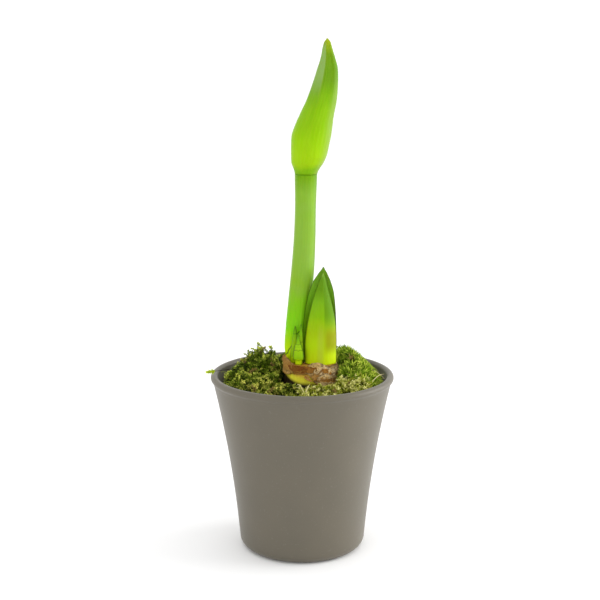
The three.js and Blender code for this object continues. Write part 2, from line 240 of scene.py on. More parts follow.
def circle(radius, height, sides):
    turns = 2 * np.pi * np.arange(sides) / sides
    return np.stack([radius * np.cos(turns), radius * np.sin(turns), np.full(sides, height)], axis=1)


def arc(centre, radius, start, end, count):
    turns = np.radians(np.linspace(start, end, count))
    return [(centre[0] + radius * math.cos(t), centre[1] + radius * math.sin(t)) for t in turns]


def piece(name, shape, material, stands_for, marks=None, flat=False):
    """Make one piece from points in millimetres and groups of faces, and tie it to the frame."""
    points, groups = shape
    mesh = bpy.data.meshes.new(name)
    corners = np.concatenate([np.asarray(group).ravel() for group in groups])
    counts = np.concatenate([np.full(len(group), np.shape(group)[1]) for group in groups])
    mesh.vertices.add(len(points))
    mesh.vertices.foreach_set("co", (np.asarray(points) * MM).ravel())
    mesh.loops.add(len(corners))
    mesh.loops.foreach_set("vertex_index", corners.astype(np.int32))
    mesh.polygons.add(len(counts))
    mesh.polygons.foreach_set("loop_start", (np.cumsum(counts) - counts).astype(np.int32))
    mesh.polygons.foreach_set("use_smooth", np.full(len(counts), not flat))
    for mark, values in (marks or {}).items():
        colour = np.ndim(values) == 2
        layer = mesh.attributes.new(mark, "FLOAT_COLOR" if colour else "FLOAT", "POINT")
        layer.data.foreach_set("color" if colour else "value", np.asarray(values, dtype=float).ravel())
    mesh.update(calc_edges=True)
    mesh.materials.append(material)
    made = link(name, mesh)
    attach(made, "root")
    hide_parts(stands_for)
    return made


def box_mm(node):
    return [np.array(corner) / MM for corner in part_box(node)]


pot_low, pot_high = box_mm("ceramic_pot")
POT_HEIGHT = pot_high[2]
RIM_RADIUS = (pot_high[1] - pot_low[1]) / 2
WALL = 4.4
POT_FLOOR = 7.0
FOOT_RADIUS = 47.9
FLARE = (0.0776, 0.000583)
FOOT_ROUND = 8.0
BEAD = 2.7
RECESS = 1.5
RECESS_RADIUS = 32.6
INNER_ROUND = 6
MIDDLE = 3  # a fan closes the skin inside this radius


def pot_radius(height):
    return FOOT_RADIUS + FLARE[0] * height + FLARE[1] * height ** 2


def pot_inside(height):
    return pot_radius(height) - WALL


bead_centre = (RIM_RADIUS - BEAD, POT_HEIGHT - BEAD)
side_top = POT_HEIGHT - BEAD - 3.4
pot_outline = [(MIDDLE, RECESS), (RECESS_RADIUS, RECESS)]
pot_outline += arc((RECESS_RADIUS + 1, RECESS - 0.5), 1.0, 90, 0, 4)[1:]
pot_outline += [(RECESS_RADIUS + 2.3, 0.25)]
pot_outline += arc((pot_radius(FOOT_ROUND) - FOOT_ROUND, FOOT_ROUND), FOOT_ROUND, -90, 0, 12)
pot_outline += [(pot_radius(z), z) for z in np.linspace(FOOT_ROUND, side_top, 40)[1:]]
pot_outline += [(pot_radius(side_top) + 0.35, side_top + 0.5)]
pot_outline += arc(bead_centre, BEAD, -50, 180, 26)
round_top = POT_FLOOR + INNER_ROUND
pot_outline += [(pot_inside(z), z) for z in np.linspace(side_top, round_top, 30)]
pot_outline += arc((pot_inside(round_top) - INNER_ROUND, round_top), INNER_ROUND, -20, -90, 6)
pot_outline += [(MIDDLE, POT_FLOOR)]
POT_SIDES = 192
pot_shape = loft([circle(radius, height, POT_SIDES) for radius, height in pot_outline])

glaze = Finish("matte_glaze", {"Specular IOR Level": 0.5, "Sheen Weight": 0.12, "Sheen Roughness": 0.4})
cloud = glaze.noise(glaze.place, 28, 2)
grain = glaze.noise(glaze.place, 1500, 2)
speck = glaze.mask(glaze.noise(glaze.place, 620, 1), 0.66, 0.74)
glaze_colour = glaze.blend(cloud, "#5a5548", "#645d4e")
glaze_colour = glaze.blend(speck * 0.35, glaze_colour, "#706b60")
piece(
    "glazed_pot",
    pot_shape,
    glaze.dress(glaze_colour, grain * 0.16 + 0.42, cloud * 0.6 + grain * 0.25, 0.12),
    "ceramic_pot",
)

# ---- Potting compost ----
# Dark, moist bark and peat crumbs, pressed in round the bulb to a finger's width under the rim. It
# shows only in the gaps that the moss leaves at the wall.


def ripple(points, size, seed):
    """A smooth random value from about -1 to 1 at each point, which changes over the given size."""
    dice = np.random.default_rng(seed)
    waves = dice.normal(size=(14, 3)) * 3.5 / size
    phases = dice.uniform(0, 2 * np.pi, 14)
    return np.sin(points @ waves.T + phases).sum(axis=1) / 4.5


def joined(shapes):
    """Several shapes as one, with their faces renumbered."""
    points, groups, start = [], [], 0
    for shape_points, shape_groups in shapes:
        points.append(shape_points)
        groups += [np.asarray(group) + start for group in shape_groups]
        start += len(shape_points)
    return np.concatenate(points), groups


LUMP = np.array([
    (1, 0, 0), (-1, 0, 0), (0, 1, 0), (0, -1, 0), (0, 0, 1), (0, 0, -1),
    (0.6, 0.6, 0.6), (-0.6, 0.6, 0.6), (0.6, -0.6, 0.6), (-0.6, -0.6, 0.6),
    (0.6, 0.6, -0.6), (-0.6, 0.6, -0.6), (0.6, -0.6, -0.6), (-0.6, -0.6, -0.6),
])
LUMP_FACES = np.array([
    face
    for a, b, c, corner in (
        (0, 2, 4, 6), (2, 1, 4, 7), (3, 0, 4, 8), (1, 3, 4, 9),
        (2, 0, 5, 10), (1, 2, 5, 11), (0, 3, 5, 12), (3, 1, 5, 13),
    )
    for face in ((a, b, corner), (b, c, corner), (c, a, corner))
])


def crumbs(centres, sizes, dice):
    """Angular lumps round the centres, each pulled out of shape its own way."""
    count = len(centres)
    knocks = dice.uniform(0.6, 1.3, (count, len(LUMP), 1))
    flatness = dice.uniform(0.45, 1.0, (count, 1, 3))
    points = centres[:, None] + LUMP[None] * knocks * flatness * sizes[:, None, None]
    faces = LUMP_FACES[None] + np.arange(count)[:, None, None] * len(LUMP)
    return points.reshape(-1, 3), [faces.reshape(-1, 3)]


soil_low, soil_high = box_mm("potting_soil")
SOIL_TOP = soil_high[2] - 1.6
soil_outline = [(4, soil_low[2])] + [(pot_inside(z) - 0.5, z) for z in np.linspace(14, SOIL_TOP - 1, 12)]
soil_outline += [(radius, SOIL_TOP) for radius in np.linspace(61, 26, 26)]
SOIL_SIDES = 160
soil_points, soil_faces = loft([circle(radius, height, SOIL_SIDES) for radius, height in soil_outline])
on_top = soil_points[:, 2] > SOIL_TOP - 2
soil_points[on_top, 2] += 0.9 * ripple(soil_points[on_top], 5, 11)
soil_points[:, 2] = np.minimum(soil_points[:, 2], soil_high[2])
dice = np.random.default_rng(5)
CRUMBS = 1500
crumb_turn = dice.uniform(0, 2 * np.pi, CRUMBS)
crumb_radius = np.sqrt(dice.uniform(30 ** 2, 60.3 ** 2, CRUMBS))
crumb_size = dice.uniform(0.4, 1.5, CRUMBS)
crumb_centres = np.stack(
    [crumb_radius * np.cos(crumb_turn), crumb_radius * np.sin(crumb_turn), SOIL_TOP + 0.3 * crumb_size],
    axis=1,
)
compost = Finish("compost", {"Specular IOR Level": 0.25})
bark = compost.noise(compost.place, 420, 4)
piece(
    "compost_fill",
    joined([(soil_points, soil_faces), crumbs(crumb_centres, crumb_size, dice)]),
    compost.dress(compost.blend(bark, "#120c07", "#3f2d1d"), bark * 0.2 + 0.75, bark, 0.5),
    "potting_soil",
    flat=True,
)

# ---- Roots ----
# The plate under the bulb with its thick white roots. They lie inside the compost, so the solid as
# packed is kept and only gets its finish.
root_skin = Finish("root_skin", {"Specular IOR Level": 0.3})
root_grain = root_skin.noise(root_skin.place, 300, 3)
root_material = root_skin.dress(root_skin.blend(root_grain, "#b5a883", "#ddd3b4"), root_grain * 0.2 + 0.6)
root_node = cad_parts["roots"]
root_node.data.materials.clear()
root_node.data.materials.append(root_material)

# ---- Bulb ----
# The fleshy bulb. Its oval neck stands up through the moss, yellow-green where the dry skins have torn
# away, with the cut ends of its scales as rings on top.


def smooth_line(stations, heights):
    """Values at the heights on one smooth curve through stations of (height, value, value...)."""
    stations = np.asarray(stations, dtype=float)
    heights = np.clip(heights, stations[0, 0], stations[-1, 0])
    span = np.clip(np.searchsorted(stations[:, 0], heights, side="right") - 1, 0, len(stations) - 2)
    share = (heights - stations[span, 0]) / (stations[span + 1, 0] - stations[span, 0])
    share = share[:, None]
    values = stations[:, 1:]
    before, start = values[np.maximum(span - 1, 0)], values[span]
    end, after = values[span + 1], values[np.minimum(span + 2, len(stations) - 1)]
    slope_in, slope_out = (end - before) / 2, (after - start) / 2
    cube, square = share ** 3, share ** 2
    return (
        (2 * cube - 3 * square + 1) * start
        + (cube - 2 * square + share) * slope_in
        + (3 * square - 2 * cube) * end
        + (cube - square) * slope_out
    )


bulb_low, bulb_high = box_mm("bulb")
BULB_X = (bulb_low[0] + bulb_high[0]) / 2
BULB_FOOT, NECK_TOP = bulb_low[2], bulb_high[2]
bulb_girth = [
    (BULB_FOOT, 17, 17),
    (BULB_FOOT + 10, 29, 28),
    (BULB_FOOT + 28, 37, 36),
    (NECK_TOP - 38, 32, 30),
    (NECK_TOP - 22, 22.4, 19.8),
    (NECK_TOP - 8, 20, 17.4),
    (NECK_TOP, 19.4, 16.8),
]


def round_neck(turns, heights, out):
    """Points round the bulb at turns in degrees and heights, standing off it by out."""
    girth = smooth_line(bulb_girth, np.ravel(heights))
    turns = np.radians(np.ravel(turns))
    out = np.ravel(out)
    across = BULB_X + (girth[:, 0] + out) * np.cos(turns)
    return np.stack([across, (girth[:, 1] + out) * np.sin(turns), np.ravel(heights)], axis=1)


BULB_SIDES = 120
bulb_turns = np.arange(BULB_SIDES) * 360 / BULB_SIDES
bulb_rings = []
body_heights = np.linspace(BULB_FOOT, NECK_TOP - 24, 14)
neck_heights = np.linspace(NECK_TOP - 22, NECK_TOP, 30)
for height in np.concatenate([body_heights, neck_heights]):
    ribs = 0.16 * np.sin(np.radians(bulb_turns * 31)) + 0.1 * np.sin(np.radians(bulb_turns * 53 + height * 9))
    bulb_rings.append(round_neck(bulb_turns, np.full(BULB_SIDES, height), ribs - 0.26))
neck_edge = bulb_rings[-1]
sunk_ring = np.zeros(len(bulb_rings) * BULB_SIDES)
# Each ring's share of the neck's width, and how far it lies below the neck's top.
SCALE_ENDS = [
    (0.95, 0), (0.91, -1.4), (0.85, -0.2), (0.8, -1.5), (0.73, -0.2), (0.67, -1.6), (0.58, -0.3),
    (0.5, -1.6), (0.4, -0.3), (0.3, -1.4), (0.16, -0.4),
]
for share, step_down in SCALE_ENDS:
    sunk_ring = np.append(sunk_ring, np.full(BULB_SIDES, float(step_down < -1)))
    ring = neck_edge.copy()
    ring[:, 0] = BULB_X + (ring[:, 0] - BULB_X) * share
    ring[:, 1] *= share
    ring[:, 2] = NECK_TOP + step_down
    bulb_rings.append(ring)
sunk_ring = np.append(sunk_ring, [0, 0])
bulb_shape = loft(bulb_rings)
bulb_points = bulb_shape[0]
# The rise mark drops towards the sides, so that the painted shade at the neck's foot climbs higher there.
from_middle = np.abs((bulb_points[:, 0] - BULB_X) / 20) ** 3
bulb_rise = (bulb_points[:, 2] - (NECK_TOP - 16)) / 12 - 0.55 * from_middle
flesh = Finish(
    "bulb_flesh",
    {"Subsurface Weight": 0.08, "Subsurface Scale": 0.003, "Specular IOR Level": 0.2},
)
rise = flesh.mark("rise")
fibre = flesh.noise(flesh.stretched(flesh.place, (1, 1, 0.12)), 900, 3)
stain = flesh.noise(flesh.place, 160, 3)
flesh_colour = flesh.blend(fibre, "#e0dc20", "#f6ea4c")
flesh_colour = flesh.blend(flesh.mask(rise, 0.42, 0.8), flesh_colour, "#d8a43a")
flesh_colour = flesh.blend(flesh.mask(stain, 0.55, 0.72) * 0.5, flesh_colour, "#8e5a1c")
# Painted shade where the neck goes down into the moss.
flesh_colour = flesh.blend(flesh.mask(rise, 0.34, 0.05), flesh_colour, "#241a06")
# Painted shade in the sunk rings between the scale ends.
flesh_colour = flesh.blend(flesh.mark("sunk") * 0.85, flesh_colour, "#3c2408")
piece(
    "bulb_neck",
    bulb_shape,
    flesh.dress(flesh_colour, 0.45 + 0.15 * fibre, fibre, 0.25),
    "bulb",
    marks={"rise": bulb_rise, "sunk": sunk_ring},
)

# ---- Dry skins ----
# Last year's bulb scales, dried to brown paper and wrapped round the neck in layers: a smooth copper
# one on the left, a stack with torn edges on the right, and more round the back.
SKIN_THICKNESS = 0.3


def torn(turns, depth, seed):
    """A ragged line along the turns: slow bends, small teeth and a few deep tears."""
    dice = np.random.default_rng(seed)
    line = np.zeros(len(turns))
    for pitch, share in ((26, 0.45), (9, 0.3), (3.5, 0.25)):
        knots = np.arange(turns[0] - pitch, turns[-1] + 2 * pitch, pitch)
        line += share * np.interp(turns, knots, dice.uniform(-1, 1, len(knots)))
    return depth * line


def peel(start, end, foot, top, out, ragged, seed, flare=0.6, taper=16):
    """One layer of skin from turn to turn, closed all round and drawn to a ragged point at both ends."""
    columns = int(abs(end - start) / 1.5)
    rows = 14
    turns = np.linspace(start, end, columns)
    tops = top(turns) + torn(turns, ragged, seed)
    feet = foot(turns) + torn(turns, ragged * 0.6, seed + 1)
    from_end = np.minimum(turns - start, end - turns) / taper
    drawn = np.clip(from_end + torn(turns, 0.18, seed + 5) * (from_end > 0.05), 0.04, 1) ** 0.6
    middles = (tops + feet) / 2 + torn(turns, 0.8, seed + 6)
    tops = middles + (tops - middles) * drawn
    feet = middles + (feet - middles) * drawn
    share = np.linspace(0, 1, rows)
    heights = feet[:, None] + (tops - feet)[:, None] * share
    all_turns = np.repeat(turns[:, None], rows, axis=1)
    place = np.stack([all_turns.ravel() * 0.35, heights.ravel(), np.zeros(heights.size)], axis=1)
    crinkle = 0.4 * ripple(place * (1, 0.35, 1), 3.4, seed + 2)
    crinkle += 0.2 * ripple(place * (1.6, 0.3, 1), 1.4, seed + 3)
    stand = out + crinkle.reshape(heights.shape) * (0.4 + 0.6 * share) + flare * share ** 3
    outer = round_neck(all_turns, heights, stand).reshape(columns, rows, 3)
    inner = round_neck(all_turns, heights, stand - SKIN_THICKNESS).reshape(columns, rows, 3)
    rings = np.concatenate([inner, outer[:, ::-1]], axis=1)
    edge = np.concatenate([share, share[::-1]])
    along = np.repeat(turns[:, None], 2 * rows, axis=1)
    marks = {
        "rise": np.append(np.tile(edge, columns), [0.5, 0.5]),
        "round": np.append(along.ravel(), [start, end]) / 10,
    }
    return loft(rings), marks


def skin_piece(name, layers, node, material):
    """Layers of (shape, marks, tone) as one piece. The tone, 0 to 1, runs from dark to pale."""
    shape = joined([layer[0] for layer in layers])
    marks = {key: np.concatenate([layer[1][key] for layer in layers]) for key in ("rise", "round")}
    marks["tone"] = np.concatenate([np.full(len(layer[0][0]), layer[2]) for layer in layers])
    piece(name, shape, material, node, marks=marks)


paper = Finish("dry_skin", {"Specular IOR Level": 0.25})
rise, around, tone = (paper.mark(name) for name in ("rise", "round", "tone"))
fibre = paper.noise(paper.grid(around * 9, rise * 0.7), 3.2, 4)
blotch = paper.noise(paper.place, 190, 4)
skin_colour = paper.ramp(
    tone * 0.8 + fibre * 0.35 + blotch * 0.3 - 0.24,
    [(0.0, "#4e2400"), (0.25, "#8a4c08"), (0.45, "#b07a28"), (0.7, "#d0ac68"), (1.0, "#f0d8a8")],
)
wrinkle = paper.noise(paper.grid(around * 1.6, rise * 17), 1.3, 3)
# Dark lines along the wrinkles: painted shade in their creases.
skin_colour = paper.blend(paper.mask(wrinkle, 0.47, 0.38) * 0.75, skin_colour, "#4a2606")
# The top edges darken: partly the torn paper's own dark brown, partly painted shade in the gaps between
# layers.
torn_lip_and_shade = paper.mask(rise, 0.86, 1.0) * paper.mask(blotch, 0.4, 0.55)
skin_colour = paper.blend(torn_lip_and_shade * 0.7, skin_colour, "#3a1e02")
skin_colour = paper.blend(paper.mask(rise, 0.2, 0.0) * paper.mask(blotch, 0.6, 0.4), skin_colour, "#c89a48")
dry_skin = paper.dress(skin_colour, fibre * 0.3 + 0.4, fibre * 0.4 + wrinkle, 0.7)


def level(height, slope=0.0, turn=0):
    """An edge at this height, which climbs by slope millimetres a degree from turn."""
    return lambda turns: height + slope * (turns - turn)


left_layers = [
    (*peel(176, 292, level(138.6, 0.02, 200), level(146.6, -0.02, 230), 0.7, 1.0, 21, 0.1, 30), 0.38),
    (*peel(150, 244, level(138.0), lambda t: 151.5 - 0.06 * np.abs(t - 205), 1.2, 1.8, 25, 0.1, 34), 0.64),
    (*peel(180, 232, level(141.0), lambda t: 152.8 - 0.1 * np.abs(t - 206), 1.5, 1.8, 33, 0.8, 12), 0.56),
    (*peel(214, 262, level(141.4), level(147.2, -0.02, 214), 1.5, 1.2, 29, 0.2, 18), 0.28),
]
skin_piece("skin_left", left_layers, "dry_skin_left", dry_skin)


def stack_foot(turns):
    """The lower edge of the stacks, which climbs at the front left and leaves the flesh bare."""
    return 129 + 11 * np.clip((294 - turns) / 32, 0, 1) * (turns > 200)


def flakes(first, last, count, top, drop, seed):
    """Overlapping flakes from the neck outwards, each with its top edge a little below the one behind."""
    dice = np.random.default_rng(seed)
    layers = []
    for layer in range(count):
        middle = dice.uniform(first + 22, last - 22)
        reach = dice.uniform(22, 50)
        start, end = max(first, middle - reach), min(last, middle + reach)
        height = top - drop * layer / count - dice.uniform(0, 1.4)
        tilt = dice.uniform(-0.05, 0.03)
        flake = peel(
            start,
            end,
            stack_foot,
            lambda t: height + tilt * (t - middle) - 2.6 * np.clip((t - 300) / 30, 0, 1),
            0.45 + 0.2 * layer,
            1.9,
            seed + 9 * layer,
            dice.uniform(0.3, 1.2),
            dice.uniform(10, 24),
        )
        layers.append((*flake, dice.uniform(0.4, 1.05)))
    return layers


def right_top(turns):
    return 148.6 - 3.6 * np.clip((turns - 292) / 25, 0, 1)


under_right = peel(258, 388, stack_foot, right_top, 0.3, 1.0, 40, 0.2)
right_layers = [(*under_right, 0.8)] + flakes(258, 386, 16, 147.8, 14.0, 300)
skin_piece("skin_right", right_layers, "dry_skin_right", dry_skin)
under_back = peel(30, 150, level(130), level(146.5), 0.3, 1.0, 90, 0.2)
back_layers = [(*under_back, 0.5)] + flakes(28, 152, 9, 147.0, 10.0, 500)
skin_piece("skin_back", back_layers, "dry_skin_back", dry_skin)

# ---- Flower stem ----
# One thick fleshy stalk, slightly flattened, with fine lengthwise ribs under a pale waxy bloom. It leans to
# the right as it rises, and turns from yellow-green at its foot to a cool green. A painted reflection pales
# its left side, and painted shade darkens its right side, its top under the bud and the edge of the leaf base
# round its foot.


def seated(points, node):
    """Stretch the points a little so that they fill the node's box exactly."""
    low, high = box_mm(node)
    least, most = points.min(axis=0), points.max(axis=0)
    return low + (points - least) * (high - low) / (most - least)


def shoot(stations, heights, sides, section):
    """Rings of an upright shoot. section(turns, share) scales its oval at each turn in degrees."""
    values = smooth_line(stations, heights)
    turns = np.arange(sides) * 360 / sides
    rings = []
    for (x, y, half_width, half_depth), height in zip(values, heights):
        share = (height - heights[0]) / (heights[-1] - heights[0])
        grow = section(turns, share)
        across = x + half_width * grow * np.cos(np.radians(turns))
        depth = y + half_depth * grow * np.sin(np.radians(turns))
        rings.append(np.stack([across, depth, np.full(sides, height)], axis=1))
    return loft(rings), {
        "rise": np.append(np.repeat(np.linspace(0, 1, len(heights)), sides), [0, 1]),
        "round": np.append(np.tile(turns, len(heights)), [0, 0]) / 360,
    }


def ribbed(turns, share):
    return 1 + 0.006 * np.sin(np.radians(turns * 23)) + 0.004 * np.sin(np.radians(turns * 41 + 60 * share))


stem_low, stem_high = box_mm("flower_stem")
stem_line = [
    (stem_low[2], -4.8, 5.2, 7.6, 7.0),
    (155, -4.9, 5.3, 8.7, 7.4),
    (167, -4.0, 5.3, 9.0, 7.8),
    (192, -1.8, 5.2, 8.9, 7.7),
    (217, 0.5, 5.0, 8.7, 7.5),
    (241, 1.9, 5.0, 8.2, 7.2),
    (265, 2.5, 5.0, 7.9, 7.0),
    (stem_high[2], 2.8, 5.0, 8.4, 7.6),
]
SHEATH_TOP = 171.5
stem_heights = np.concatenate([np.linspace(stem_low[2], 174, 76), np.linspace(174, stem_high[2], 90)[1:]])
stem_shape, stem_marks = shoot(stem_line, stem_heights, 120, ribbed)
stem_points = stem_shape[0]
# A thin leaf base wraps the stem's right front up to a slanting edge.
past_edge = stem_points[:, 0] + 13.2 - 0.545 * (stem_points[:, 2] - 149.6) + 0.5 * ripple(stem_points, 6, 3)
in_front = np.clip((6 - stem_points[:, 1]) / 2, 0, 1)
wrapped = np.clip(past_edge / 0.5, 0, 1) * in_front * (stem_points[:, 2] < SHEATH_TOP)
stem_points[:, 1] -= 0.45 * wrapped
below_top = np.clip((SHEATH_TOP - stem_points[:, 2]) / 2, 0, 1)
# A mark along that edge, where painted shade goes on the stem's skin.
stem_marks["seam"] = np.exp(-(past_edge / 0.55) ** 2) * in_front * below_top


def plant_skin(name, stops, bloom, bloom_amount):
    """A waxy green skin: colour stops by height, lengthwise streaks and a pale bloom."""
    skin = Finish(name, {"Subsurface Weight": 0.1, "Subsurface Scale": 0.003, "Specular IOR Level": 0.07})
    rise, around = skin.mark("rise"), skin.mark("round")
    streak = skin.noise(skin.grid(around * 70, rise * 3.5), 1.6, 4)
    cloud = skin.noise(skin.place, 90, 3)
    dust = skin.noise(skin.place, 1800, 2)
    colour = skin.ramp(rise + cloud * 0.06 - 0.03, stops)
    colour = skin.blend(skin.mask(streak, 0.35, 0.75) * 0.12, colour, "#c0d840")
    high = skin.mask(rise, 0.3, 0.65)
    colour = skin.blend(skin.mask(cloud, 0.35, 0.8) * high * bloom_amount, colour, bloom)
    return skin, rise, around, streak, dust, colour


skin, rise, around, streak, dust, colour = plant_skin(
    "stem_skin",
    [
        (0.0, "#cce000"), (0.12, "#c4ec00"), (0.26, "#a4dc00"), (0.42, "#7cd000"), (0.52, "#78bc0a"),
        (0.6, "#7caa22"),
        # The stops from 0.985 up are painted shade under the bud's foot.
        (0.71, "#7ea838"), (0.93, "#7ba82d"), (0.985, "#679900"), (1.0, "#5f9200"),
    ],
    "#94b468",
    0.12,
)
# A pale grey-green band down the left side: a painted reflection of the bright surround.
painted_reflection_left = skin.mask(around, 0.62, 0.5) * skin.mask(around, 0.38, 0.5)
# A darker, greyer right side: painted shade.
painted_shade_right = skin.mask(around, 0.86, 0.98) + skin.mask(around, 0.12, 0.02)
colour = skin.blend(painted_reflection_left * skin.mask(rise, 0.45, 0.65) * 0.7, colour, "#93b25c")
colour = skin.blend(painted_shade_right * skin.mask(rise, 0.1, 0.4) * 0.7, colour, "#66863a")
# Painted shade along the leaf base's edge.
colour = skin.blend(skin.mask(skin.mark("seam"), 0.3, 0.8) * 0.8, colour, "#2c5400")
piece(
    "stem_stalk",
    (seated(stem_shape[0], "flower_stem"), stem_shape[1]),
    skin.dress(colour, dust * 0.1 + 0.38, streak * 0.5 + dust * 0.1, 0.1),
    "flower_stem",
    marks=stem_marks,
)

# ---- Flower bud ----
# The closed sheath of the flowers: two fleshy valves that meet in a keel at the front left and another
# at the back, full at the foot and drawn out to a beak that leans right.
bud_low, bud_high = box_mm("flower_bud")
bud_line = [
    (bud_low[2], 2.8, 5.0, 8.4, 7.8),
    (292.5, 3.2, 5.0, 9.8, 9.2),
    (296.5, 3.8, 5.0, 11.9, 11.3),
    (302, 4.9, 5.0, 13.3, 13.0),
    (310, 5.8, 5.0, 14.2, 14.2),
    (317.5, 6.8, 5.0, 14.7, 14.4),
    (325, 8.6, 5.0, 13.9, 13.8),
    (331, 10.4, 5.0, 12.9, 13.0),
    (342.5, 14.1, 5.0, 11.3, 11.6),
    (354, 16.7, 5.0, 9.6, 9.8),
    (366, 18.5, 5.0, 7.6, 7.5),
    (374.5, 18.7, 5.0, 5.2, 5.2),
    (380.5, 18.3, 5.0, 3.7, 3.8),
    (385, 18.3, 5.0, 2.4, 2.4),
    (bud_high[2], 18.3, 5.0, 0.6, 0.6),
]
KEEL_TURN = 256
FOLD_TURN = 318


def valves(turns, share):
    """The bud's section: two keels that sharpen towards the beak, and a flat beside the front one."""
    sharp = np.clip((share - 0.35) / 0.3, 0, 1)
    grow = np.ones(len(turns))
    for keel in (KEEL_TURN, KEEL_TURN - 180):
        away = (turns - keel + 180) % 360 - 180
        grow += 0.12 * sharp * np.exp(-(away / 11) ** 2)
        grow -= 0.10 * sharp * np.exp(-((np.abs(away) - 38) / 20) ** 2)
    fold = (turns - FOLD_TURN + 180) % 360 - 180
    grow += 0.04 * np.clip(1 - abs(share - 0.25) / 0.3, 0, 1) * np.exp(-(fold / 16) ** 2)
    return grow * (1 + 0.003 * np.sin(np.radians(turns * 29)))


bud_shape, bud_marks = shoot(bud_line, np.linspace(bud_low[2], bud_high[2], 150), 120, valves)
bud_points = seated(bud_shape[0], "flower_bud")
LIP = 0.4  # the sheath's foot hangs over the stem's top
bud_points[:, 2] -= LIP * np.clip(1 - (bud_points[:, 2] - bud_low[2]) / 2, 0, 1)
skin, rise, around, streak, dust, colour = plant_skin(
    "bud_skin",
    [
        # The first stops darken the bud's foot: painted shade where it overhangs the stem.
        (0.0, "#6b9f00"), (0.03, "#74a800"), (0.065, "#91bb00"), (0.13, "#94c000"), (0.24, "#8cbd00"),
        (0.36, "#80b100"), (0.47, "#7aad00"), (0.58, "#6c9f00"), (0.7, "#578600"), (0.8, "#558400"),
        (0.88, "#5f8600"), (0.95, "#7a9400"), (1.0, "#96a115"),
    ],
    "#a4c040",
    0.06,
)
# A pale grey-green facet left of the front keel: painted highlight.
painted_highlight_facet = skin.mask(around, 0.47, 0.52) * skin.mask(around, 0.712, 0.70) * skin.mask(rise, 0.55, 0.74)
painted_highlight_facet = painted_highlight_facet * skin.mask(rise, 0.985, 0.93)
keel_line = skin.mask(around, 0.690, 0.709) * skin.mask(around, 0.730, 0.712) * skin.mask(rise, 0.45, 0.65)
# The duller right front: painted shade.
painted_shade_side = skin.mask(around, 0.82, 0.93) * skin.mask(rise, 0.8, 0.5)
colour = skin.blend(painted_highlight_facet * 0.8, colour, "#88aa58")
colour = skin.blend(painted_shade_side * 0.6, colour, "#7b903d")
colour = skin.blend(keel_line * 0.15, colour, "#9cc048")
piece(
    "bud_sheath",
    (bud_points, bud_shape[1]),
    skin.dress(colour, dust * 0.1 + 0.36, streak * 0.6 + dust * 0.1, 0.12),
    "flower_bud",
    marks=bud_marks,
)

# ---- Leaf pair ----
# Two young strap leaves, nested like hands. The front one is keeled and bright, yellow at its foot and
# flushed olive on the right. The back one shows its darker inner face on both sides.
back_leaf_line = [
    (box_mm("leaf_back")[0][2], 13.0, 12.9), (162, 13.0, 13.1), (177, 13.3, 12.4), (190, 13.8, 11.2),
    (201, 14.5, 9.2), (209, 14.9, 6.4), (215, 15.5, 3.1), (box_mm("leaf_back")[1][2], 15.9, 0.5),
]
front_leaf_line = [
    (box_mm("leaf_front")[0][2], 13.9, 11.9), (162, 13.9, 11.9), (177, 14.5, 10.6), (186, 14.7, 8.9),
    (195, 14.8, 6.7), (204, 15.0, 4.2), (210, 15.4, 2.3), (box_mm("leaf_front")[1][2], 15.7, 0.4),
]


def leaf_blade(line, edge_depth, bulge, thickness, keel, keel_at):
    """A hooded blade: crescent rings whose outer face swells by bulge and carries a rounded keel."""
    steps = 34
    heights = line[0][0] + (line[-1][0] - line[0][0]) * np.linspace(0, 1, 110)
    values = smooth_line(line, heights)
    across = np.sin(np.linspace(-np.pi / 2, np.pi / 2, steps))
    rings, marks = [], {"rise": [], "across": [], "outer": []}
    for (x, half_width), height in zip(values, heights):
        share = (height - heights[0]) / (heights[-1] - heights[0])
        grown = min(1.0, half_width / values[0][1]) ** 0.7
        edge = edge_depth + 2 * share
        swell = (1 - across ** 2) ** 0.8
        ridge = keel * np.exp(-((across - keel_at) / 0.13) ** 2) * share ** 1.5 * grown
        facing = 1 if bulge > 0 else -1
        outer = edge + facing * (0.5 + ridge) + bulge * grown * swell
        inner = edge - facing * 0.5 + (bulge - facing * thickness) * grown * swell
        front, back = (outer, inner) if bulge < 0 else (inner, outer)
        flags = (1, 0) if bulge < 0 else (0, 1)
        for side, flag, order in ((front, flags[0], 1), (back, flags[1], -1)):
            rings.append(np.stack([x + half_width * across, side, np.full(steps, height)], axis=1)[::order])
            marks["rise"] += [share] * steps
            marks["across"] += list(across[::order])
            marks["outer"] += [flag] * steps
    rings = np.array(rings).reshape(len(heights), 2 * steps, 3)
    for values in marks.values():
        values += values[:1] + values[-1:]
    return loft(rings), marks


def leaf_skin(name, outer_stops, inner_stops):
    """Waxy leaf skin with lengthwise veins, an outer and an inner face."""
    skin = Finish(name, {"Subsurface Weight": 0.1, "Subsurface Scale": 0.003, "Specular IOR Level": 0.07})
    rise, across, outer = skin.mark("rise"), skin.mark("across"), skin.mark("outer")
    veins = skin.noise(skin.grid(across * 26, rise * 2.6), 1.5, 4)
    cloud = skin.noise(skin.place, 110, 3)
    height = rise + cloud * 0.08 - 0.04
    on_outside = skin.mask(outer, 0.4, 0.6)
    colour = skin.blend(on_outside, skin.ramp(height, inner_stops), skin.ramp(height, outer_stops))
    colour = skin.blend(skin.mask(veins, 0.4, 0.8) * 0.14, colour, "#c0d850")
    # Both edges darken: painted shade along the margins.
    painted_shade_margin = skin.mask(across, -0.93, -1.0) + skin.mask(across, 0.95, 1.0)
    colour = skin.blend(painted_shade_margin * 0.75, colour, "#244400")
    return skin, rise, across, veins, colour


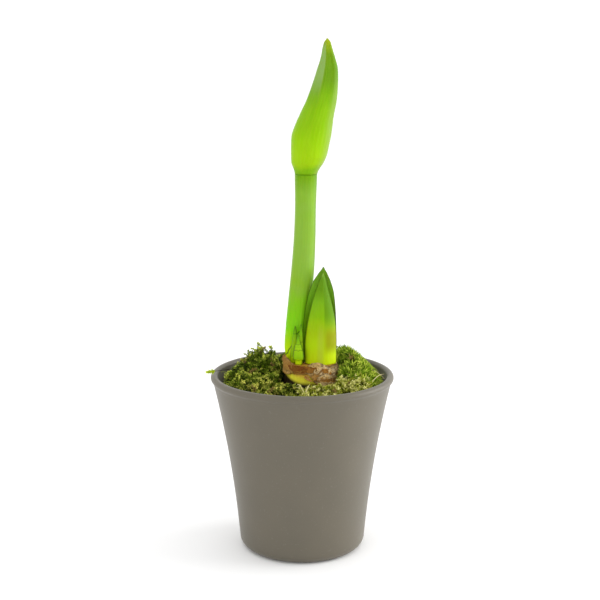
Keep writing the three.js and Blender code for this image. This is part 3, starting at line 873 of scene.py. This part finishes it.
skin, rise, across, veins, colour = leaf_skin(
    "back_leaf_skin",
    [(0.0, "#90b400"), (0.3, "#6c9f00"), (0.7, "#5a8708"), (1.0, "#687c10")],
    [
        (0.0, "#85aa00"), (0.3, "#6a9c00"), (0.5, "#649808"), (0.7, "#74b01e"), (0.85, "#74aa28"),
        (1.0, "#62901a"),
    ],
)
colour = skin.blend(skin.mask(across, 0.8, 1.0) * 0.5, colour, "#70843c")
leaf_shape, leaf_marks = leaf_blade(back_leaf_line, -4.6, 6.5, 2.6, 0.6, 0.0)
piece(
    "leaf_back_blade",
    (seated(leaf_shape[0], "leaf_back"), leaf_shape[1]),
    skin.dress(colour, 0.42 + 0.12 * veins, veins, 0.12),
    "leaf_back",
    marks=leaf_marks,
)

skin, rise, across, veins, colour = leaf_skin(
    "front_leaf_skin",
    [
        (0.0, "#c0d400"), (0.06, "#bcd400"), (0.2, "#aed200"), (0.36, "#9cbc00"), (0.53, "#7eb000"),
        # The last stop pales the very tip: a painted highlight.
        (0.7, "#72a612"), (0.82, "#588703"), (0.95, "#5b8912"), (1.0, "#7ca142"),
    ],
    [(0.0, "#85aa00"), (1.0, "#4e7c00")],
)
shade_side = skin.mask(across, 0.1, 0.3) * skin.mask(rise, 0.25, 0.6)
flush = skin.mask(across, 0.0, 0.5) * skin.mask(rise, 0.08, 0.22) * skin.mask(rise, 0.46, 0.3)
# A pale band beside the keel: painted highlight.
painted_ridge_highlight = skin.mask(across, -0.35, -0.05) * skin.mask(across, 0.3, 0.0) * skin.mask(rise, 0.5, 0.3)
colour = skin.blend(shade_side * 0.8, colour, "#527e00")
colour = skin.blend(flush * 0.8, colour, "#8a8a04")
colour = skin.blend(painted_ridge_highlight * 0.3, colour, "#a8a848")
leaf_shape, leaf_marks = leaf_blade(front_leaf_line, -6.6, -7.5, 6.0, 0.9, 0.18)
piece(
    "leaf_front_blade",
    (seated(leaf_shape[0], "leaf_front"), leaf_shape[1]),
    skin.dress(colour, 0.42 + 0.12 * veins, veins, 0.12),
    "leaf_front",
    marks=leaf_marks,
)

# ---- Leaf tips ----
# Three small shoots in the gap between stem and leaves: a slim upright one, a flat one that lies
# against the stem, and a stub like a cup with a scaly collar and a narrow point.
tip_skin = Finish(
    "tip_skin",
    {"Subsurface Weight": 0.08, "Subsurface Scale": 0.002, "Specular IOR Level": 0.15},
)
rise, around = tip_skin.mark("rise"), tip_skin.mark("round")
veins = tip_skin.noise(tip_skin.grid(around * 40, rise * 2), 1.5, 3)
tip_stops = [
    (0.0, "#c0d800"), (0.14, "#b0d400"), (0.2, "#90c400"), (0.5, "#9cc808"), (0.8, "#78b400"),
    (1.0, "#4c7c00"),
]
tip_colour = tip_skin.ramp(rise + veins * 0.12 - 0.06, tip_stops)
# All but the front-facing side darkens to near-black green: painted shade outlining each tip.
painted_shade_flank = tip_skin.mask(around, 0.62, 0.55) + tip_skin.mask(around, 0.88, 0.95)
tip_colour = tip_skin.blend(painted_shade_flank * 0.85, tip_colour, "#1c3400")
# Dark lines at the scale edges: painted shade under each edge.
seam = tip_skin.mask(tip_skin.mark("seam"), 0.25, 0.9) * tip_skin.mask(veins, 0.3, 0.5)
tip_colour = tip_skin.blend(seam * 0.6, tip_colour, "#2c4c00")
tip_material = tip_skin.dress(tip_colour, 0.45 + 0.1 * veins, veins, 0.12)


def leaf_tip(name, node, profile, lean, folds, seams):
    """A small closed shoot: profile gives (share of height, share of girth), seams the heights of scale
    edges, with painted shade along them.
    """
    low, high = box_mm(node)
    centre, half = (low + high) / 2, (high - low) / 2
    shares = np.linspace(0, 1, 90)
    girth = np.interp(shares, *zip(*profile))
    girth = np.convolve(np.pad(girth, 1, mode="edge"), np.ones(3) / 3, mode="valid")
    line = [
        (low[2] + share * (high - low)[2], centre[0] + lean * share, centre[1], half[0] * g, half[1] * g)
        for share, g in zip(shares, girth)
    ]
    heights = np.array([station[0] for station in line])
    shape, marks = shoot(line, heights, 40, lambda t, share: 1 + folds * np.cos(np.radians(t * 3 + 40)))
    sag = 0.008 * np.cos(2 * np.pi * (marks["round"] - 0.75) * 3)
    sag += 0.01 * np.sin(2 * np.pi * marks["round"] * 7)
    marks["seam"] = sum(np.exp(-((marks["rise"] + sag - seam) / 0.016) ** 2) for seam in seams)
    piece(name, (seated(shape[0], node), shape[1]), tip_material, node, marks=marks)


tall_profile = [(0, 0.9), (0.4, 1), (0.75, 0.75), (0.93, 0.5), (1, 0.12)]
middle_profile = [(0, 1), (0.3, 0.95), (0.7, 0.6), (0.9, 0.42), (1, 0.15)]
stub_profile = [
    (0, 0.62), (0.12, 0.7), (0.17, 0.95), (0.25, 1), (0.43, 0.88), (0.46, 0.76), (0.5, 0.8), (0.54, 0.64),
    (0.58, 0.69), (0.63, 0.54), (0.66, 0.4), (0.97, 0.1), (1, 0.06),
]
leaf_tip("tip_tall", "leaf_tip_tall", tall_profile, 0.4, 0.06, [0.55])
leaf_tip("tip_middle", "leaf_tip_middle", middle_profile, 1.6, 0.04, [0.8])
leaf_tip("tip_stub", "leaf_tip_stub", stub_profile, -0.3, 0.03, [0.15, 0.46, 0.65])

# ---- Moss ----
# Living sheet moss, laid on the compost in cushions. Each cushion is a mat of old growth, painted near-black
# as shade, under leafy shoots: curly feathers on the left, fine upright blades on the right, short ones in
# front.
LEAFLET_POINTS = 5
LEAFLET_FACES = np.array([(0, 2, 1), (0, 3, 2), (0, 1, 3), (4, 1, 2), (4, 2, 3), (4, 3, 1)])
STALK_SIDES = 3
STALK_STEPS = 5


def cushion_spots(node, count, dice):
    """Random spots with their outward directions on the upper side of a packed cushion."""
    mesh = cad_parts[node].data
    mesh.calc_loop_triangles()
    points = np.array([vertex.co for vertex in mesh.vertices]) / MM
    faces = np.array([face.vertices for face in mesh.loop_triangles])
    corners = points[faces]
    outward = np.cross(corners[:, 1] - corners[:, 0], corners[:, 2] - corners[:, 0])
    area = np.linalg.norm(outward, axis=1)
    outward = outward / area[:, None]
    facing_up = area * (outward[:, 2] > 0.15)
    picked = dice.choice(len(faces), count, p=facing_up / facing_up.sum())
    weights = dice.dirichlet((1, 1, 1), count)
    return (corners[picked] * weights[:, :, None]).sum(axis=1), outward[picked], (points, faces)


def unit(vectors):
    return vectors / np.linalg.norm(vectors, axis=-1, keepdims=True)


def moss_shoots(roots, headings, habit, dice, lushness):
    """Curved shoots with leaflets in a spiral. Gives points, groups of faces and a colour a point."""
    count = len(roots)
    length = habit["length"] * dice.uniform(0.6, 1.25, count) * (1 + 0.15 * lushness)
    bend = unit(np.cross(headings, dice.normal(size=(count, 3))))
    binormal = np.cross(headings, bend)
    curl = habit["curl"] * dice.uniform(0.3, 1.4, count)

    def along(share):
        turn = curl[:, None] * share
        angle = np.maximum(turn, 1e-4)
        reach = (length / curl)[:, None, None]
        sideways = bend[:, None] * (1 - np.cos(angle))[..., None]
        forward = headings[:, None] * np.sin(angle)[..., None] + sideways
        tangent = headings[:, None] * np.cos(turn)[..., None] + bend[:, None] * np.sin(turn)[..., None]
        inward = bend[:, None] * np.cos(turn)[..., None] - headings[:, None] * np.sin(turn)[..., None]
        return roots[:, None] + reach * forward, tangent, inward

    leaflets = habit["leaflets"]
    share = np.broadcast_to(np.linspace(0.08, 1.0, leaflets), (count, leaflets))
    base, tangent, inward = along(share)
    spin = 2.4 * np.arange(leaflets) + dice.uniform(0, 2 * np.pi, count)[:, None]
    outward = inward * np.cos(spin)[..., None] + binormal[:, None] * np.sin(spin)[..., None]
    side = np.cross(tangent, outward)
    open_angle = habit["open"] * (1.1 - 0.5 * share) * dice.uniform(0.75, 1.25, share.shape)
    size = habit["leaf_length"] * np.sin(np.pi * np.clip(0.16 + 0.72 * share, 0, 1)) ** 0.6
    size = size * dice.uniform(0.75, 1.2, share.shape)
    width = habit["leaf_width"] * dice.uniform(0.8, 1.2, share.shape)
    axis = tangent * np.cos(open_angle)[..., None] + outward * np.sin(open_angle)[..., None]
    outer_angle = open_angle + habit["recurve"]
    far_axis = tangent * np.cos(outer_angle)[..., None] + outward * np.sin(outer_angle)[..., None]
    middle = base + axis * (0.45 * size)[..., None]
    keel = unit(np.cross(axis, side))
    leaf_points = np.stack(
        [
            base,
            middle + side * (width / 2)[..., None],
            middle - side * (width / 2)[..., None],
            middle + keel * (width * 0.3)[..., None],
            middle + far_axis * (0.55 * size)[..., None],
        ],
        axis=2,
    )
    total = count * leaflets
    leaf_faces = (LEAFLET_FACES[None] + LEAFLET_POINTS * np.arange(total)[:, None, None]).reshape(-1, 3)

    stalk_share = np.broadcast_to(np.linspace(0, 1, STALK_STEPS), (count, STALK_STEPS))
    centre, tangent, inward = along(stalk_share)
    spokes = 2 * np.pi * np.arange(STALK_SIDES) / STALK_SIDES
    thick = habit["stalk"] * (1.15 - stalk_share)[..., None, None]
    stalk_points = centre[:, :, None] + thick * (
        inward[:, :, None] * np.cos(spokes)[:, None] + binormal[:, None, None] * np.sin(spokes)[:, None]
    )
    by_shoot = [part.reshape(count, -1, 3) for part in (leaf_points, stalk_points)]
    shoot_points = np.concatenate(by_shoot, axis=1)
    if habit["settled"]:
        shoot_points = settle(shoot_points)
    leaf_points = shoot_points[:, :leaflets * LEAFLET_POINTS].reshape(-1, 3)
    stalk_points = shoot_points[:, leaflets * LEAFLET_POINTS:].reshape(-1, 3)
    step = np.arange(STALK_SIDES)
    after = np.roll(step, -1)
    level = np.arange(STALK_STEPS - 1)[:, None] * STALK_SIDES
    next_level = level + STALK_SIDES
    walls = np.stack([level + step, level + after, next_level + after, next_level + step], axis=2)
    per_stalk = STALK_SIDES * STALK_STEPS
    starts = len(leaf_points) + per_stalk * np.arange(count)[:, None, None]
    stalk_walls = (walls.reshape(1, -1, 4) + starts).reshape(-1, 4)
    lids = np.array([(2, 1, 0), tuple(per_stalk - STALK_SIDES + step)])
    stalk_lids = (lids[None] + starts).reshape(-1, 3)

    dark, middle_green, light = (np.array(paint(code)[:3]) for code in habit["greens"])
    vigour = np.clip(dice.uniform(0, 1, (count, 1)) ** 1.5 + 0.4 * lushness[:, None], 0, 1)
    # Each leaflet darkens towards the shoot's foot: partly older growth, partly painted shade deep in the
    # cushion.
    ripeness_and_shade = np.clip(0.08 + 1.0 * share * (0.25 + 0.75 * vigour) + dice.normal(0, 0.14, share.shape), 0, 1)
    ripeness_and_shade = ripeness_and_shade[..., None]
    low_green = dark + (middle_green - dark) * np.clip(ripeness_and_shade * 2, 0, 1)
    green = low_green + (light - middle_green) * np.clip(ripeness_and_shade * 2 - 1, 0, 1)
    weathered = dice.uniform(0, 1, (count, 1, 1)) < habit["straw"]
    green = np.where(weathered, np.array(paint("#a08a4a")[:3]), green)
    # Each leaflet's base is darkened as painted shade and its tip brightened as a painted highlight.
    painted_light_by_point = np.array([0.45, 0.85, 0.85, 0.7, 1.25])[None, None, :, None]
    leaf_colour = np.clip(green[:, :, None] * painted_light_by_point, 0, 1).reshape(-1, 3)
    stalk_colour = np.repeat(np.array(paint(habit["stalk_colour"])[:3])[None], len(stalk_points), axis=0)
    colours = np.concatenate([leaf_colour, stalk_colour])
    return np.concatenate([leaf_points, stalk_points]), [leaf_faces, stalk_walls, stalk_lids], colours


NECK_CLEAR = (23.6, 21.0)


def neck_distance(points):
    """1 on an oval a little outside the neck, and more farther out."""
    return np.hypot((points[..., 0] - BULB_X) / NECK_CLEAR[0], points[..., 1] / NECK_CLEAR[1])


def keep_clear(points):
    """Hold points inside the pot's wall, above the compost and off the bulb's neck."""
    points = points.copy()
    radius = np.hypot(points[:, 0], points[:, 1])
    widest = pot_inside(np.minimum(points[:, 2], POT_HEIGHT - 2)) - 0.4
    points[:, :2] *= np.minimum(1, widest / radius)[:, None]
    points[:, 2] = np.maximum(points[:, 2], soil_high[2] + 0.2)
    beside = points[:, 2] < NECK_TOP + 8
    from_neck = neck_distance(points)
    push = np.where(beside & (from_neck < 1), 1 / np.maximum(from_neck, 0.3), 1)
    points[:, 0] = BULB_X + (points[:, 0] - BULB_X) * push
    points[:, 1] *= push
    return points


def settle(points):
    """Let each shoot down whole until it is no taller than moss grows at the wall and before the neck."""
    radius = np.hypot(points[..., 0], points[..., 1])
    to_wall = np.maximum(pot_inside(130) - radius, 0)
    # It falls steeply to the wall beside and behind the neck, and gently in front.
    ceiling = np.where(points[..., 1] > -12, 131 + 1.1 * to_wall, 136 + 0.4 * to_wall)
    from_neck = neck_distance(points)
    before_neck = (points[..., 1] < -9) & (points[..., 0] > -22) & (points[..., 0] < 24)
    near = 130.5 + 11 * np.maximum(from_neck - 1, 0)
    ceiling = np.where(before_neck, np.minimum(ceiling, near), ceiling)
    excess = np.maximum(points[..., 2] - ceiling, 0).max(axis=1, keepdims=True)
    return points - np.stack([0 * excess, 0 * excess, excess], axis=-1)


moss_skin = Finish("moss_leaf", {"Specular IOR Level": 0.15})
moss_tint = moss_skin.node("ShaderNodeAttribute", {"attribute_name": "tint"}, output="Color")
fleck = moss_skin.noise(moss_skin.place, 700, 3)
patch = moss_skin.noise(moss_skin.place, 120, 2)
moss_colour = moss_skin.blend(moss_skin.mask(patch, 0.45, 0.8) * 0.15, moss_tint, "#8a9a24")
moss_colour = moss_skin.shaded(moss_skin.mask(fleck, 0.2, 0.6), moss_colour, 0.7)
moss_material = moss_skin.dress(moss_colour, 0.5 + 0.3 * fleck, fleck, 0.15)

CURLY = {
    "length": 14.0, "curl": 2.6, "leaflets": 38, "open": 0.75, "recurve": 0.5, "leaf_length": 2.8,
    "leaf_width": 1.2, "stalk": 0.35, "upright": 0.6, "sunk": 2.6, "straw": 0.03, "settled": True,
    "greens": ("#080c00", "#627e02", "#f0f868"), "stalk_colour": "#303c08",
}
UPRIGHT = {
    "length": 8.5, "curl": 0.9, "leaflets": 16, "open": 0.42, "recurve": 0.35, "leaf_length": 7.5,
    "leaf_width": 1.0, "stalk": 0.3, "upright": 1.7, "sunk": 3.0, "straw": 0.03, "settled": True,
    "greens": ("#081000", "#769c06", "#e6f460"), "stalk_colour": "#4a5a14",
}
SHORT = {
    "length": 9.0, "curl": 2.0, "leaflets": 22, "open": 0.8, "recurve": 0.4, "leaf_length": 3.4,
    "leaf_width": 1.3, "stalk": 0.35, "upright": 0.6, "sunk": 2.4, "straw": 0.05, "settled": True,
    "greens": ("#080a00", "#66780a", "#f0ec6c"), "stalk_colour": "#54561a",
}
YELLOW = dict(SHORT, greens=("#1c1e00", "#a4ac24", "#fcf69c"))


def strand(start, end, arch, thick):
    """A thin dry thread from start to end, arched upwards."""
    start, end = np.array(start, dtype=float), np.array(end, dtype=float)
    share = np.linspace(0, 1, 12)[:, None]
    centres = start + (end - start) * share + np.array([0, 0, 4 * arch]) * share * (1 - share)
    ahead = unit(end - start)
    side = unit(np.cross(ahead, (0, 0, 1)))
    spin = 2 * np.pi * np.arange(4)[:, None] / 4
    round_it = side * np.cos(spin) + np.cross(side, ahead) * np.sin(spin)
    return loft(centres[:, None] + thick * (1 - 0.7 * share[:, None]) * round_it)


def threads(spots, count, reach, dice):
    """Loose threads that start at some of the spots and arch over the cushion."""
    made = []
    for start in spots[dice.choice(len(spots), count, replace=False)]:
        turn = dice.uniform(0, 2 * np.pi)
        away = reach * dice.uniform(0.6, 1.2)
        end = start + (away * math.cos(turn), away * math.sin(turn), dice.uniform(-3, 2))
        made.append((start, end, dice.uniform(2, 5), dice.uniform(0.22, 0.36)))
    return made


MAT_SUNK = 2.2


def moss_piece(name, node, habit, shoots, seed, loose, straws=()):
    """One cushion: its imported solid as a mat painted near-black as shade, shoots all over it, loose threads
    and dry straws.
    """
    dice = np.random.default_rng(seed)
    spots, outward, (mat_points, mat_faces) = cushion_spots(node, 2 * shoots, dice)
    lushness = ripple(spots, 6, seed)
    kept = np.argsort(lushness + dice.uniform(-0.6, 0.6, len(spots)))[-shoots:]
    spots, outward, lushness = spots[kept], outward[kept], lushness[kept]
    sideways = unit(dice.normal(size=spots.shape))
    headings = unit(outward * habit["upright"] + sideways + (0, 0, 0.25))
    roots = spots - outward * habit["sunk"]
    points, groups, colours = moss_shoots(roots, headings, habit, dice, lushness)
    mat = mat_points.copy()
    upper = mat[:, 2] > mat[:, 2].min() + 0.5
    mat[upper, 2] -= MAT_SUNK
    shapes = [(keep_clear(points), groups), (mat, [mat_faces])]
    # The mat's near-black is painted shade under the shoots.
    colours = [colours, np.tile(paint("#151a04")[:3], (len(mat), 1))]
    lines = [(thread, "#a4b43c") for thread in threads(spots, loose, 11, dice)]
    lines += [(straw, "#d8cc94") for straw in straws]
    for line, code in lines:
        thread_points, thread_groups = strand(*line)
        shapes.append((keep_clear(thread_points), thread_groups))
        colours.append(np.tile(paint(code)[:3], (len(thread_points), 1)))
    tint = np.concatenate(colours)
    tint = np.concatenate([tint, np.ones((len(tint), 1))], axis=1)
    piece(name, joined(shapes), moss_material, node, marks={"tint": tint}, flat=True)


front_straws = [
    ((-4, -25, 133.5), (1, -57, 137), 2.5, 0.5), ((2.5, -52, 136), (5.5, -37, 137.5), 0.5, 0.42),
    ((-9, -32, 132), (0, -44, 136), 1.5, 0.4),
]
right_straws = [
    ((50, 6, 138), (62.5, -8, 134), 2, 0.45), ((52, -20, 134), (62.5, -2, 136), 2, 0.42),
    ((50, 12, 137), (61, 10, 131), 2, 0.35),
]
moss_piece("moss_left_cushion", "moss_left", CURLY, 390, 101, 34)
moss_piece("moss_right_cushion", "moss_right", UPRIGHT, 900, 102, 16, right_straws)
moss_piece("moss_back_cushion", "moss_back", CURLY, 280, 103, 8)
moss_piece("moss_front_left_cushion", "moss_front_left", SHORT, 350, 104, 8, front_straws)
moss_piece("moss_front_right_cushion", "moss_front_right", YELLOW, 500, 105, 8)

# ---- Stray sprig ----
# One loose strand of moss that has slipped over the rim on the left: a thin dark stalk with a tuft of
# fresh leaves at its end.
sprig_low, sprig_high = box_mm("stray_sprig")
sprig_root = np.array([[sprig_high[0], sprig_high[1] - 0.5, sprig_high[2] - 1.2]])
sprig_end = np.array([sprig_low[0] + 1.5, sprig_low[1] + 0.8, sprig_low[2] + 1.5])
SPRIG = {
    "length": float(np.linalg.norm(sprig_end - sprig_root[0])), "curl": 0.35, "leaflets": 120, "open": 0.9,
    "recurve": 0.3, "leaf_length": 4.4, "leaf_width": 1.7, "stalk": 0.4, "straw": 0, "settled": False,
    "greens": ("#7c9408", "#c0d818", "#e4f03c"), "stalk_colour": "#2c2420",
}
dice = np.random.default_rng(7)
fresh = np.ones(1)
points, groups, colours = moss_shoots(sprig_root, unit(sprig_end - sprig_root), SPRIG, dice, fresh)
BARE_SHARE = 0.6  # of the strand, from its root
bare_leaflets = int(BARE_SHARE * SPRIG["leaflets"])
groups[0] = groups[0][bare_leaflets * len(LEAFLET_FACES):]
bare_points = bare_leaflets * LEAFLET_POINTS
points, colours = points[bare_points:], colours[bare_points:]
groups = [group - bare_points for group in groups]
tint = np.concatenate([colours, np.ones((len(colours), 1))], axis=1)
sprig_shape = (seated(points, "stray_sprig"), groups)
piece("sprig_strand", sprig_shape, moss_material, "stray_sprig", marks={"tint": tint}, flat=True)
